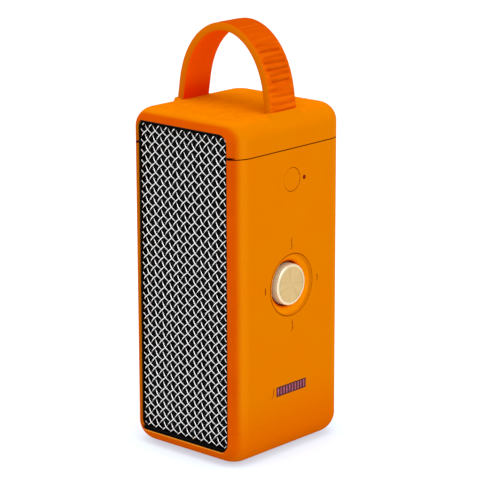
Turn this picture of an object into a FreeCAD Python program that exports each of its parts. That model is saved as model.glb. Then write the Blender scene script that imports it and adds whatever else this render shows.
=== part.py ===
import FreeCAD, Part
import math
import os
import re
import sys
import Sketcher
from FreeCAD import Placement, Rotation, Vector

# A portable loudspeaker that stands on end. +Z is up and the origin is at the centre of the base.
# The front grille faces -Y, the rear grille +Y and the face with the controls +X. All sizes are in mm.

SIZES = {
    # the outside
    "body_wide": 68, "body_deep": 78, "body_tall": 162,
    "corner_radius": 11.7, "top_edge": 9, "base_edge": 10,
    "top_seam": 146, "seam_gap": 0.4, "base_seam": 16.8, "base_gap": 0.04, "base_lift": 0.5,
    "notch_long": 3, "notch_tall": 0.8, "notch_deep": 4,
    # the recess that each grille drops into
    "recess_wide": 56, "recess_base": 7, "recess_top": 157, "recess_corner": 4.5,
    # the inner walls: a core runs past both seams and carries the front and rear baffles
    "wall": 3, "baffle_face": 31.5, "baffle_back": 29, "inner_corner": 8,
    "core_wide": 49, "core_wall": 2.5, "core_corner": 5, "core_base": 5.3, "core_top": 156.7,
    "core_gap": 0.2, "deck": 3, "gasket": 0.8,
    # the strap and what holds it
    "strap_span": 28.6, "strap_top": 201.1, "strap_foot": 160, "strap_wide": 18, "strap_thick": 3.8,
    "strap_square_across": 1.95, "strap_square_up": 2.3, "strap_end": 150.5, "strap_round": 0.9,
    "strap_gap": 0.15, "strap_flare": 1, "flare_top": 170, "flare_power": 1.6,
    "fairing_top": 162.4, "fairing_out": 30.1, "fairing_low": 156.5, "fairing_low_out": 33.2,
    "fairing_wall": 0.4, "anchor_out": 30.4, "anchor_half": 12.5,
    "pin_radius": 0.8, "pin_high": 154.4, "pin_long": 22,
    # cap screws
    "screw_radius": 1.25, "screw_head": 2.6, "screw_head_tall": 1.8, "screw_gap": 0.06,
    "top_screw_across": 28, "top_screw_deep": 20, "top_screw_long": 10,
    "base_screw_across": 18, "base_screw_deep": 22.5, "base_screw_long": 10,
    "boss_wide": 10, "boss_deep": 7,
    # feet
    "pad_wide": 46, "pad_deep": 56, "pad_corner": 8, "pad_inset": 1,
    "foot_long": 44, "foot_wide": 7, "foot_inset": 0.8, "foot_proud": 0.6, "foot_low": 50, "foot_high": 124,
    # the grilles
    "frame_gap": 0.2, "frame_face": 36.3, "frame_border": 0.8, "frame_corner": 3.5,
    "ledge_border": 2.7, "ledge_face": 34.2,
    "cloth_thick": 0.3, "wire_radius": 0.34, "wire_pitch": 3.46, "wire_front": 35.72, "wire_back": 34.96,
    "mesh_gap": 0.1, "mesh_rim": 0.6, "hem_inset": 0.2, "mesh_corner": 3.4,
    # the drivers, measured outwards from the face of the baffle
    "driver_high": 118, "driver_hole": 22.4, "flange_wide": 49, "flange_corner": 5, "flange_thick": 1.6,
    "flange_screw": 20.8, "small_radius": 0.9, "small_head": 1.8, "small_head_tall": 1,
    "small_long": 3.4,
    "basket_mouth": 21.6, "basket_neck": 22.2, "basket_waist": 17.4, "basket_taper": 12.5,
    "basket_deep": 14.5, "basket_sheet": 1.2, "seat_radius": 20.4,
    "spider_deep": 10, "spider_radius": 16.2, "spider_thick": 0.4,
    "magnet_radius": 15, "magnet_deep": 20.5, "yoke_deep": 24, "pole_radius": 9.2, "pole_deep": 14,
    "coil_gap_radius": 11, "coil_radius": 10.3, "coil_thick": 0.6, "coil_deep": 18, "cone_edge": 17.9,
    "cone_rim": 1.3, "cone_lip": 1.4, "cone_neck": 7.4, "dome_deep": 3.4, "roll_inner": 17.6,
    "roll_outer": 20.6, "roll_radius": 1.7, "roll_base": 0.6, "roll_thick": 0.55,
    # the passive radiators
    "radiator_low": 50, "radiator_wide": 42, "radiator_tall": 58, "radiator_corner": 10,
    "radiator_flange_tall": 66, "radiator_screw_across": 21.4, "radiator_screw_up": 29.8,
    "plate_wide": 32, "plate_tall": 48, "plate_corner": 7, "plate_deep": 1.95, "plate_thick": 1.45,
    "weight_wide": 18, "weight_tall": 28, "weight_corner": 3, "weight_thick": 3,
    "lip_gap": 0.1, "lip_deep": 2.3, "lip_wall": 2.4, "lip_step": 0.8, "skirt_deep": 1.9, "skirt_thick": 0.5,
    "skirt_edge": 1, "roll_edge": 2.8, "roll_rise": 1.2, "roll_round": 0.8, "skirt_overlap": 1.5,
    # the knob, seen along +X
    "knob_high": 81.4, "knob_radius": 9.85, "knob_tall": 4.2, "knob_bevel": 0.7, "bevel_radius": 0.9,
    "knob_skin": 1.6, "skirt_inner": 8.6, "ring_inner": 7.9, "ring_outer": 8.2, "ring_deep": 0.12,
    "hub_radius": 3.2, "hub_deep": 5.5, "stem_radius": 1.8, "stem_top": 2.65, "stem_fit": 0.05,
    "dish_radius": 14.65, "dish_gap": 0.15, "dish_rim": 13.9, "rim_step": 0.25, "bowl_radius": 10.9,
    "bowl_deep": 3.4, "bowl_round": 4, "well_deep": 7, "well_floor": 1.6, "well_hole": 4.2,
    "well_radius": 12.6,
    "dish_flange": 17, "dish_flange_thick": 1.2, "fit_gap": 0.08,
    # the switch behind the knob, about the point that the knob tilts round
    "knob_pivot": 24.3, "ball_radius": 2.4, "ball_half": 0.4, "ring_hole": 3.4, "ring_rim": 4.6,
    "ring_half": 0.65, "pivot_pin": 0.35, "pivot_hole": 0.42, "stem_pin": 4, "ring_pin_from": 3.7,
    "ring_pin_to": 5.7, "cup_radius": 6, "cup_hole": 5.1, "cup_top": 0.7, "cup_deep": 1.7, "cup_floor": 0.5,
    "case_wide": 14.4, "case_corner": 1.2, "case_hole": 6.2, "case_top": 0.9, "case_deep": 2.4,
    # the pairing button, its lamp and the battery gauge
    "button_across": 0.3, "button_high": 131.3, "button_radius": 5.45, "button_gap": 0.25,
    "lamp_across": 8.8, "lamp_high": 131, "lamp_radius": 1,
    "gauge_high": 31.5, "gauge_wide": 20.8, "gauge_tall": 4.6, "gauge_thick": 1.6, "gauge_gap": 0.05,
    "bar_wide": 0.95, "bar_tall": 3.5, "bar_pitch": 2, "guide_back": 22.9,
    "mark_deep": 0.3, "mark_wide": 0.42, "mark_reach": 19.7, "mark_side": 17.9, "bar_mark_tall": 3.3,
    "plunger_long": 9.6, "plunger_radius": 1.4, "button_flange": 6.6, "flange_top": 3.1, "flange_base": 4.3,
    "tact_wide": 6.2, "tact_top": 9.4, "tact_deep": 11.8, "tact_hole": 1.8,
    # the control board
    "board_face": 21.2, "board_thick": 1.6, "board_wide": 34, "board_base": 24, "board_top": 141,
    "post_radius": 2.6, "post_across": 13.5, "post_low": 62, "post_high": 137.6,
    # the tray with the cells and the main board
    "tray_face": 3.2, "tray_thick": 2, "tray_wide": 37.6, "tray_tab": 43.4, "tray_base": 8, "tray_top": 154,
    "tab_tall": 12, "rail_deep": 6.4, "rail_wide": 2.6, "rail_gap": 0.1,
    "cell_radius": 9.2, "cell_long": 65, "cell_across": 9.6, "cell_deep": -6.4, "cell_base": 20.5,
    "main_face": 6.8, "main_wide": 34, "main_base": 86, "main_top": 140,
    # the charging socket, on the side away from the controls
    "port_deep": -6, "port_high": 27, "port_wide": 9.6, "port_tall": 3.9, "shell_wide": 9, "shell_tall": 3.2,
    "shell_wall": 0.3, "shell_long": 7.4, "socket_out": 33.2, "charge_board": 12, "ledge_long": 4,
    "tongue_wide": 6.7, "tongue_thick": 0.7, "board_reach": 25.9, "board_run": 9.8,
}

doc = FreeCAD.newDocument("loudspeaker")
sheet = doc.addObject("Spreadsheet::Sheet", "dims")
for row, (word, number) in enumerate(SIZES.items(), start=1):
    sheet.set(f"A{row}", word)
    sheet.set(f"B{row}", str(number))
    sheet.setAlias(f"B{row}", word)
doc.recompute()

FACING = {
    "plain": Rotation(),
    "turned": Rotation(Vector(0, 0, 1), 180),
    "front": Rotation(Vector(1, 0, 0), 90),
    "rear": Rotation(Vector(0, 0, 1), 180) * Rotation(Vector(1, 0, 0), 90),
    "side": Rotation(Vector(1, 1, 1), 120),
}
PLANES = {"X": ("YZ_Plane", 1), "Y": ("XZ_Plane", -1), "Z": ("XY_Plane", 1)}
pieces = {}


def full(text):
    """An expression in which each name of the sheet is written out as dims.name."""
    return re.sub(r"[a-z][a-z_]*", lambda word: "dims." + word[0] if word[0] in SIZES else word[0], text)


def size(text):
    return float(sheet.evalExpression(full(text)))


def piece(name, facing="plain", at=("0", "0", "0")):
    """A body with its own label and placement, its place bound to the sheet."""
    body = doc.addObject("PartDesign::Body", name)
    body.Label = name
    body.Placement = Placement(Vector(*[size(part) for part in at]), FACING[facing])
    for letter, part in zip("xyz", at):
        body.setExpression(f"Placement.Base.{letter}", full(part))
    pieces[name] = body
    return body


def pin_point(sketch, geometry, end, across, up):
    """Holds one point of a sketch at two expressions."""
    for kind, text in (("DistanceX", across), ("DistanceY", up)):
        index = sketch.addConstraint(Sketcher.Constraint(kind, -1, 1, geometry, end, size(text)))
        sketch.setExpression(f"Constraints[{index}]", full(text))


def circle(across, up, radius):
    def draw(sketch):
        centre = Vector(size(across), size(up), 0)
        index = sketch.addGeometry(Part.Circle(centre, Vector(0, 0, 1), size(radius)))
        pin_point(sketch, index, 3, across, up)
        limit = sketch.addConstraint(Sketcher.Constraint("Radius", index, size(radius)))
        sketch.setExpression(f"Constraints[{limit}]", full(radius))
    return draw


def arc_between(start, end, radius, left):
    """The arc shorter than a half turn from start to end that turns left or right."""
    chord = end - start
    height = math.sqrt(max(radius ** 2 - (chord.Length / 2) ** 2, 0))
    normal = Vector(-chord.y, chord.x, 0).normalize()
    centre = (start + end) * 0.5 + normal * (height if left else -height)
    first, last = (start, end) if left else (end, start)
    angles = [math.atan2(point.y - centre.y, point.x - centre.x) for point in (first, last)]
    return Part.ArcOfCircle(Part.Circle(centre, Vector(0, 0, 1), radius), *angles)


def outline(*steps):
    """A closed outline. A step is (across, up), or (across, up, radius, turn) for an arc to that point."""
    def draw(sketch):
        ends = []
        for before, step in zip((steps[-1],) + steps[:-1], steps):
            start = Vector(size(before[0]), size(before[1]), 0)
            end = Vector(size(step[0]), size(step[1]), 0)
            if len(step) == 2:
                index = sketch.addGeometry(Part.LineSegment(start, end))
                ends.append((index, 1, 2))
            else:
                left = step[3] == "left"
                index = sketch.addGeometry(arc_between(start, end, size(step[2]), left))
                limit = sketch.addConstraint(Sketcher.Constraint("Radius", index, size(step[2])))
                sketch.setExpression(f"Constraints[{limit}]", full(step[2]))
                ends.append((index, 1, 2) if left else (index, 2, 1))
        for (index, _, end), (following, start, _), step in zip(ends, ends[1:] + ends[:1], steps):
            sketch.addConstraint(Sketcher.Constraint("Coincident", index, end, following, start))
            pin_point(sketch, index, end, step[0], step[1])
    return draw


def block(across, up, wide, tall, corner=None):
    """A rectangle about a centre, with round corners where a radius is given."""
    left, right = f"{across} - ({wide})/2", f"{across} + ({wide})/2"
    low, high = f"{up} - ({tall})/2", f"{up} + ({tall})/2"
    if corner is None:
        return outline((left, low), (right, low), (right, high), (left, high))
    inset = f"({corner})"
    return outline(
        (f"{right} - {inset}", low),
        (right, f"{low} + {inset}", corner, "left"),
        (right, f"{high} - {inset}"),
        (f"{right} - {inset}", high, corner, "left"),
        (f"{left} + {inset}", high),
        (left, f"{high} - {inset}", corner, "left"),
        (left, f"{low} + {inset}"),
        (f"{left} + {inset}", low, corner, "left"),
    )


def drawn(body, axis, at, shapes):
    """A sketch across one axis of the body, at a place along it."""
    role, sign = PLANES[axis]
    sketch = body.newObject("Sketcher::SketchObject", body.Label + "_sketch")
    plane = [feature for feature in body.Origin.OriginFeatures if feature.Role == role][0]
    sketch.AttachmentSupport = (plane, [""])
    sketch.MapMode = "FlatFace"
    sketch.setExpression("AttachmentOffset.Base.z", f"{sign} * ({full(at)})")
    for draw in shapes:
        draw(sketch)
    sketch.Visibility = False
    return sketch


def extrude(kind, body, axis, low, high, shapes):
    """Adds or cuts the shapes between two places along an axis."""
    sketch = drawn(body, axis, low, shapes)
    feature = body.newObject(kind, body.Label + "_" + kind[12:].lower())
    feature.Profile = sketch
    feature.setExpression("Length", full(f"({high}) - ({low})"))
    forward = PLANES[axis][1] > 0
    feature.Reversed = forward if kind == "PartDesign::Pocket" else not forward
    body.Tip = feature


def pad(body, axis, low, high, *shapes):
    extrude("PartDesign::Pad", body, axis, low, high, shapes)


def cut(body, axis, low, high, *shapes):
    extrude("PartDesign::Pocket", body, axis, low, high, shapes)


def turn(body, *steps):
    """Turns an outline of (radius, height) about the body's own Z axis."""
    sketch = drawn(body, "Y", "0", [outline(*steps)])
    feature = body.newObject("PartDesign::Revolution", body.Label + "_revolution")
    feature.Profile = sketch
    feature.ReferenceAxis = (sketch, ["V_Axis"])
    feature.Angle = 360
    body.Tip = feature


def soften(body, radius, wanted):
    """Rounds the edges of the body that the test picks out."""
    doc.recompute()
    base = body.Tip
    edges = [f"Edge{index}" for index, edge in enumerate(base.Shape.Edges, start=1) if wanted(edge)]
    feature = body.newObject("PartDesign::Fillet", body.Label + "_fillet")
    feature.Base = (base, edges)
    feature.Radius = size(radius)
    feature.setExpression("Radius", full(radius))
    body.Tip = feature


def lies_at(height):
    """A test for edges that lie flat at one height."""
    def wanted(edge):
        box = edge.BoundBox
        return abs(box.ZMin - size(height)) < 0.01 and abs(box.ZMax - size(height)) < 0.01
    return wanted


def four(across, up):
    """The corners of a rectangle about the origin, from its half sizes."""
    return [(f"{side_a} * ({across})", f"{side_b} * ({up})") for side_a in (-1, 1) for side_b in (-1, 1)]


def moved(places, across, up):
    return [(f"{a} + {across}", f"{b} + {up}") for a, b in places]


def circles(places, radius):
    return [circle(across, up, radius) for across, up in places]


def screws(name, axis, places, heads, shanks, head_radius, shank_radius, facing="plain", at=("0", "0", "0")):
    """A group of like screws: heads and shanks are (low, high) along the axis."""
    body = piece(name, facing, at)
    pad(body, axis, *heads, *circles(places, head_radius))
    pad(body, axis, *shanks, *circles(places, shank_radius))
    return body


# --- places shared by more than one piece ---

TOP_SCREWS = four("top_screw_across", "top_screw_deep")
BASE_SCREWS = four("base_screw_across", "base_screw_deep")
POSTS = [(f"{side} * post_across", height) for side in (-1, 1) for height in ("post_low", "post_high")]
RECESS_MIDDLE = "(recess_base + recess_top)/2"
RECESS_TALL = "(recess_top - recess_base)"
FRONT_DRIVER, REAR_DRIVER = "driver_high", "body_tall - driver_high"
FRONT_RADIATOR, REAR_RADIATOR = "radiator_low", "body_tall - radiator_low"
DRIVER_SCREWS = four("flange_screw", "flange_screw")
RADIATOR_SCREWS = four("radiator_screw_across", "radiator_screw_up")
SIDE = "body_wide/2"
INNER_SIDE = "body_wide/2 - wall"
DECK_BASE = "base_seam + deck"
DECK_TOP = "top_seam - seam_gap - deck"
STRAP_FOOT = "(strap_span + strap_flare - strap_thick/2)"


def recess(body):
    """The opening for a grille, at the front and the rear."""
    shape = block("0", RECESS_MIDDLE, "recess_wide", RECESS_TALL, "recess_corner")
    cut(body, "Y", "-body_deep/2", "-baffle_face", shape)
    cut(body, "Y", "baffle_face", "body_deep/2", shape)


def zigzag(*points):
    """A thin upright stroke through the points, as wide as the marks are."""
    right = [(f"{across} + mark_wide/2", up) for across, up in points]
    left = [(f"{across} - mark_wide/2", up) for across, up in reversed(points)]
    return outline(*right, *left)


def mark_shapes():
    """The four direction marks round the knob and the charge mark beside the gauge."""
    squiggle = (("0.5", "2.6"), ("-0.4", "1.6"), ("0.4", "0.4"),
                ("-0.1", "-0.5"), ("0.6", "-1.5"), ("-0.6", "-2.6"))
    over = [(across, f"knob_high + mark_reach + ({up})") for across, up in squiggle]
    under = [(f"0.6 + ({across})", f"knob_high - mark_reach + ({up})") for across, up in squiggle]
    chevron = (("mark_side", "knob_high + 1.5"), ("mark_side + 0.7", "knob_high"),
               ("mark_side", "knob_high - 1.5"))
    charge = (("-12.2", "gauge_high + 2.3"), ("-12.4", "gauge_high - 1"), ("-13.7", "gauge_high - 2.4"))
    bar = block("-mark_side - 0.2", "knob_high + 0.4", "mark_wide + 0.1", "bar_mark_tall")
    return [zigzag(*over), zigzag(*under), zigzag(*chevron), zigzag(*charge), bar]


def gauge_shape(grow):
    return block("0", "gauge_high", f"gauge_wide + {grow}", f"gauge_tall + {grow}")


def bar_shapes():
    return [block(f"{index - 4.5} * bar_pitch", "gauge_high", "bar_wide", "bar_tall") for index in range(10)]


# --- the casing ---

def main_housing():
    body = piece("main_housing")
    pad(body, "Z", "base_seam", "top_seam - seam_gap",
        block("0", "0", "body_wide", "body_deep", "corner_radius"))
    pad(body, "Z", "core_base", "core_top", block("0", "0", "core_wide", "2 * baffle_face", "core_corner"))
    cut(body, "Z", "core_base", "core_top",
        block("0", "0", "core_wide - 2 * core_wall", "2 * baffle_back", "core_corner - core_wall"))
    cut(body, "Z", DECK_BASE, DECK_TOP,
        block("0", "0", "body_wide - 2 * wall", "2 * baffle_back", "inner_corner"))
    recess(body)
    baffle_holes(body, "-baffle_face", "-baffle_back", FRONT_DRIVER, FRONT_RADIATOR)
    baffle_holes(body, "baffle_back", "baffle_face", REAR_DRIVER, REAR_RADIATOR)
    control_openings(body)
    cap_fixings(body)
    tray_rails(body)
    far_side(body)
    return body


def baffle_holes(body, low, high, driver, radiator):
    cut(body, "Y", low, high, circle("0", driver, "driver_hole"),
        block("0", radiator, "radiator_wide", "radiator_tall", "radiator_corner"))
    cut(body, "Y", low, high, *circles(moved(DRIVER_SCREWS, "0", driver), "small_radius + screw_gap"),
        *circles(moved(RADIATOR_SCREWS, "0", radiator), "small_radius + screw_gap"))


def control_openings(body):
    """What goes through the control side: knob, button, lamp and gauge, with marks and board posts."""
    cut(body, "X", INNER_SIDE, SIDE,
        circle("0", "knob_high", "dish_radius + dish_gap"),
        circle("button_across", "button_high", "button_radius + button_gap"),
        circle("lamp_across", "lamp_high", "lamp_radius + fit_gap"),
        gauge_shape("2 * gauge_gap"))
    cut(body, "X", "body_wide/2 - mark_deep", SIDE, *mark_shapes())
    pad(body, "X", "board_face", INNER_SIDE, *circles(POSTS, "post_radius"))
    cut(body, "X", "board_face", "board_face + 6", *circles(POSTS, "small_radius + screw_gap"))


def cap_fixings(body):
    """Screw holes in the top deck and screw bosses inside the lower end of the core."""
    cut(body, "Z", DECK_TOP, "top_seam - seam_gap", *circles(TOP_SCREWS, "screw_radius + 0.15"))
    places = four("(core_wide/2 - core_wall + 0.5 - boss_wide/2)", "base_screw_deep")
    pad(body, "Z", "core_base", DECK_BASE, *[block(a, b, "boss_wide", "boss_deep", "1") for a, b in places])
    cut(body, "Z", "core_base", "core_base + base_screw_long",
        *circles(BASE_SCREWS, "screw_radius + screw_gap"))


def tray_rails(body):
    """A slotted rail on each side of the core, low and high, for the tabs of the tray."""
    middle = "tray_face + tray_thick/2"
    ends = (("tray_base", "tray_base + tab_tall"), ("tray_top - tab_tall + 2.2", "tray_top"))
    for low, high in ends:
        rails = [block(f"{side} * (core_wide/2 - core_wall + 0.3 - rail_wide/2)", middle,
                       "rail_wide", "rail_deep") for side in (-1, 1)]
        pad(body, "Z", low, high, *rails)
        cut(body, "Z", low, high, block("0", middle, "tray_tab + 2 * rail_gap", "tray_thick + 2 * rail_gap"))


def far_side(body):
    """The side away from the controls: charging port, the ledge under its board, recesses for the feet."""
    cut(body, "X", "-body_wide/2", "-body_wide/2 + wall",
        block("port_deep", "port_high", "port_wide", "port_tall", "port_tall/2 - 0.01"))
    ledge_middle = "port_high - shell_tall/2 - board_thick - 1"
    pad(body, "X", "-body_wide/2 + wall - 0.2", "-body_wide/2 + wall + ledge_long",
        block("port_deep", ledge_middle, "charge_board + 2", "2"))
    for height in ("foot_low", "foot_high"):
        cut(body, "X", "-body_wide/2", "-body_wide/2 + foot_inset",
            block("0", height, "foot_long", "foot_wide", "foot_wide/2 - 0.01"))


def cap_pocket(body, low, high):
    cut(body, "Z", low, high, block("0", "0", "core_wide + 2 * core_gap", "2 * (baffle_face + core_gap)",
                                    "core_corner + core_gap"))


def strap_fairings(body, low):
    """A raised shoulder round each foot of the strap, which slopes out into the side of the cap."""
    half = "(strap_wide/2 + fairing_wall)"
    for side in (-1, 1):
        steps = ((STRAP_FOOT, low), (STRAP_FOOT, "fairing_top"), ("fairing_out", "fairing_top"),
                 ("fairing_low_out", "fairing_low"), ("fairing_low_out - 1", "fairing_low"),
                 ("fairing_low_out - 2", low))
        pad(body, "Y", f"-{half}", half, outline(*[(f"{side} * ({across})", up) for across, up in steps]))


def top_cap():
    body = piece("top_cap")
    pad(body, "Z", "top_seam", "body_tall", block("0", "0", "body_wide", "body_deep", "corner_radius"))
    soften(body, "top_edge", lies_at("body_tall"))
    ceiling = "core_top + gasket"
    strap_fairings(body, f"{ceiling} + 0.7")
    cap_pocket(body, "top_seam", ceiling)
    middle, wide = "(core_wide/2 + core_gap + anchor_out)/2", "(anchor_out - core_wide/2 - core_gap + 0.1)"
    cut(body, "Z", "top_seam", ceiling,
        *[block(f"{side} * {middle}", "0", wide, "2 * anchor_half") for side in (-1, 1)])
    cut(body, "Z", "core_top", "fairing_top",
        *[block(f"{side} * {STRAP_FOOT}", "0", "strap_thick + 2 * strap_gap",
                "strap_wide + 2 * strap_gap", "strap_round") for side in (-1, 1)])
    recess(body)
    cut(body, "Z", "top_seam", "top_seam + top_screw_long", *circles(TOP_SCREWS, "screw_radius + screw_gap"))
    for side in (-1, 1):
        notch = block(f"{side} * (recess_wide/2 + notch_long/2 - 0.5)", "top_seam + notch_tall/2 - 0.05",
                      "notch_long + 1", "notch_tall + 0.1")
        cut(body, "Y", "-body_deep/2", "notch_deep - body_deep/2", notch)
        cut(body, "Y", "body_deep/2 - notch_deep", "body_deep/2", notch)
    return body


def base_cap():
    body = piece("base_cap")
    pad(body, "Z", "base_lift", "base_seam - base_gap",
        block("0", "0", "body_wide", "body_deep", "corner_radius"))
    soften(body, "base_edge", lies_at("base_lift"))
    cap_pocket(body, "core_base - gasket", "base_seam")
    recess(body)
    cut(body, "Z", "base_lift", "base_lift + pad_inset",
        block("0", "0", "pad_wide", "pad_deep", "pad_corner"))
    cut(body, "Z", "base_lift", "core_base", *circles(BASE_SCREWS, "screw_radius + 0.15"))
    cut(body, "Z", "base_lift", "base_lift + pad_inset + screw_head_tall",
        *circles(BASE_SCREWS, "screw_head + 0.2"))
    return body


def cap_gaskets():
    body = piece("cap_gaskets")
    ring = (block("0", "0", "core_wide", "2 * baffle_face", "core_corner"),
            block("0", "0", "core_wide - 2 * core_wall", "2 * baffle_back", "core_corner - core_wall"))
    pad(body, "Z", "core_top", "core_top + gasket", *ring)
    pad(body, "Z", "core_base - gasket", "core_base", *ring)
    return body


def cap_screws():
    head = f"{DECK_TOP} - screw_head_tall"
    screws("top_cap_screws", "Z", TOP_SCREWS, (head, DECK_TOP), (DECK_TOP, "top_seam + top_screw_long - 1"),
           "screw_head", "screw_radius")
    seat = "base_lift + pad_inset + screw_head_tall"
    screws("base_cap_screws", "Z", BASE_SCREWS, (f"{seat} - screw_head_tall + 0.1", seat),
           (seat, "core_base + base_screw_long - 1"), "screw_head", "screw_radius")


def feet():
    """The pad under the base, and two strips for the loudspeaker lying on the side away from the knob."""
    body = piece("base_pad")
    pad(body, "Z", "0", "base_lift + pad_inset",
        block("0", "0", "pad_wide - 0.2", "pad_deep - 0.2", "pad_corner - 0.1"))
    strips = piece("side_feet")
    pad(strips, "X", "-body_wide/2 - foot_proud", "-body_wide/2 + foot_inset",
        *[block("0", height, "foot_long - 0.2", "foot_wide - 0.2", "foot_wide/2 - 0.15")
          for height in ("foot_low", "foot_high")])


# --- the strap ---

def strap_line(offset):
    """The arch as points, moved inwards by an offset, from the right foot over the top to the left foot."""
    span, foot, rise = size("strap_span"), size("strap_foot"), size("strap_top - strap_foot")
    power_across, power_up = 2 / size("strap_square_across"), 2 / size("strap_square_up")
    flare, flare_top, flare_power = size("strap_flare"), size("flare_top"), size("flare_power")
    count = 24

    def place(angle):
        across, up = math.cos(angle), max(math.sin(angle), 0)
        high = foot + rise * up ** power_up
        out = span * abs(across) ** power_across
        if high < flare_top:
            out += flare * ((flare_top - high) / (flare_top - foot)) ** flare_power
        return Vector(math.copysign(out, across), 0, high)

    points = [Vector(span + flare - offset, 0, foot)]
    for step in range(1, count):
        angle = math.pi * step / count
        along = (place(angle + 0.01) - place(angle - 0.01)).normalize()
        points.append(place(angle) - Vector(along.z, 0, -along.x) * offset)
    points.append(Vector(offset - span - flare, 0, foot))
    return points


def arch_edge(offset):
    curve = Part.BSplineCurve()
    curve.interpolate(Points=strap_line(offset), InitialTangent=Vector(0, 0, 1),
                      FinalTangent=Vector(0, 0, -1))
    return curve.toShape()


def carry_strap():
    """An arched band whose two feet go down through the top cap, each with a hole for its pin."""
    outer, inner = arch_edge(0), arch_edge(size("strap_thick"))
    feet_line = size("strap_end")
    edges = [outer, inner]
    for point in (0, -1):
        top_outer, top_inner = outer.Vertexes[point].Point, inner.Vertexes[point].Point
        low_outer = Vector(top_outer.x, 0, feet_line)
        low_inner = Vector(top_inner.x, 0, feet_line)
        edges += [Part.makeLine(top_outer, low_outer), Part.makeLine(low_outer, low_inner),
                  Part.makeLine(low_inner, top_inner)]
    face = Part.Face(Part.Wire(Part.sortEdges(edges)[0]))
    band = face.extrude(Vector(0, size("strap_wide"), 0))
    band.translate(Vector(0, -size("strap_wide") / 2, 0))
    rounded = [edge for edge in band.Edges if abs(edge.BoundBox.YMax - edge.BoundBox.YMin) < 0.01
               and edge.BoundBox.ZMax > size("strap_end") + 0.1]
    band = band.makeFillet(size("strap_round"), rounded)
    for side in (-1, 1):
        place = Vector(side * size(STRAP_FOOT), -size("strap_wide"), size("pin_high"))
        hole = Part.makeCylinder(size("pin_radius + 0.1"), 2 * size("strap_wide"), place, Vector(0, 1, 0))
        band = band.cut(hole)
    feature = doc.addObject("Part::Feature", "carry_strap")
    feature.Shape = band
    feature.Placement = Placement()
    pieces["carry_strap"] = feature


def strap_pins():
    body = piece("strap_pins")
    pad(body, "Y", "-pin_long/2", "pin_long/2",
        *[circle(f"{side} * {STRAP_FOOT}", "pin_high", "pin_radius") for side in (-1, 1)])


# --- the grilles ---

def grille_frame(name, facing):
    body = piece(name, facing)
    outer = ("recess_wide - 2 * frame_gap", f"{RECESS_TALL} - 2 * frame_gap")
    def opening(border):
        return block("0", RECESS_MIDDLE, f"{outer[0]} - 2 * {border}", f"{outer[1]} - 2 * {border}",
                     f"frame_corner + frame_border - {border}")
    pad(body, "Y", "-frame_face", "-baffle_face",
        block("0", RECESS_MIDDLE, *outer, "recess_corner - frame_gap"))
    cut(body, "Y", "-frame_face", "-baffle_face", opening("ledge_border"))
    cut(body, "Y", "-frame_face", "-ledge_face", opening("frame_border"))


def grille_cloth(name, facing):
    body = piece(name, facing)
    trim = "2 * (frame_gap + frame_border + 0.15)"
    pad(body, "Y", "-ledge_face - cloth_thick", "-ledge_face",
        block("0", RECESS_MIDDLE, f"recess_wide - {trim}", f"{RECESS_TALL} - {trim}", "frame_corner - 0.15"))


def mesh_rim(half_wide, half_tall):
    """The flat hem round a grille's wires. The wires stand a little proud of its faces."""
    front, back = size("wire_front + wire_radius - hem_inset"), size("wire_back - wire_radius + hem_inset")
    middle, rim = size(RECESS_MIDDLE), size("mesh_rim")

    def slab(inset):
        wide, tall = half_wide - inset, half_tall - inset
        box = Part.makeBox(2 * wide, front - back, 2 * tall, Vector(-wide, -front, middle - tall))
        corners = [edge for edge in box.Edges if edge.BoundBox.YLength > (front - back) / 2]
        return box.makeFillet(size("mesh_corner") - inset, corners)

    return slab(0).cut(slab(rim))


def grille_mesh(name, facing):
    """Two layers of round wires that cross at right angles, their ends joined to a flat hem."""
    trim = size("frame_gap + frame_border + mesh_gap")
    half_wide, half_tall = size("recess_wide") / 2 - trim, size(RECESS_TALL) / 2 - trim
    rim = mesh_rim(half_wide, half_tall)
    end_wide, end_tall = half_wide - size("mesh_rim") / 2, half_tall - size("mesh_rim") / 2
    middle, pitch = size(RECESS_MIDDLE), size("wire_pitch")
    reach = int((end_wide + end_tall) / math.sqrt(2) / pitch)
    wires = []
    for lean, depth in ((1, size("wire_front")), (-1, size("wire_back"))):
        for index in range(-reach, reach + 1):
            shift = index * pitch * math.sqrt(2)
            low = max(-end_wide, -end_tall - shift)
            high = min(end_wide, end_tall - shift)
            if high - low < pitch:
                continue
            start = Vector(lean * low, -depth, middle + low + shift)
            end = Vector(lean * high, -depth, middle + high + shift)
            wires.append(Part.makeCylinder(size("wire_radius"), (end - start).Length, start, end - start))
    feature = doc.addObject("Part::Feature", name)
    feature.Shape = rim.fuse(wires)
    feature.Placement = Placement(Vector(), FACING[facing])
    pieces[name] = feature


# --- the drivers and radiators, each drawn outwards from the face of its baffle ---

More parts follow.
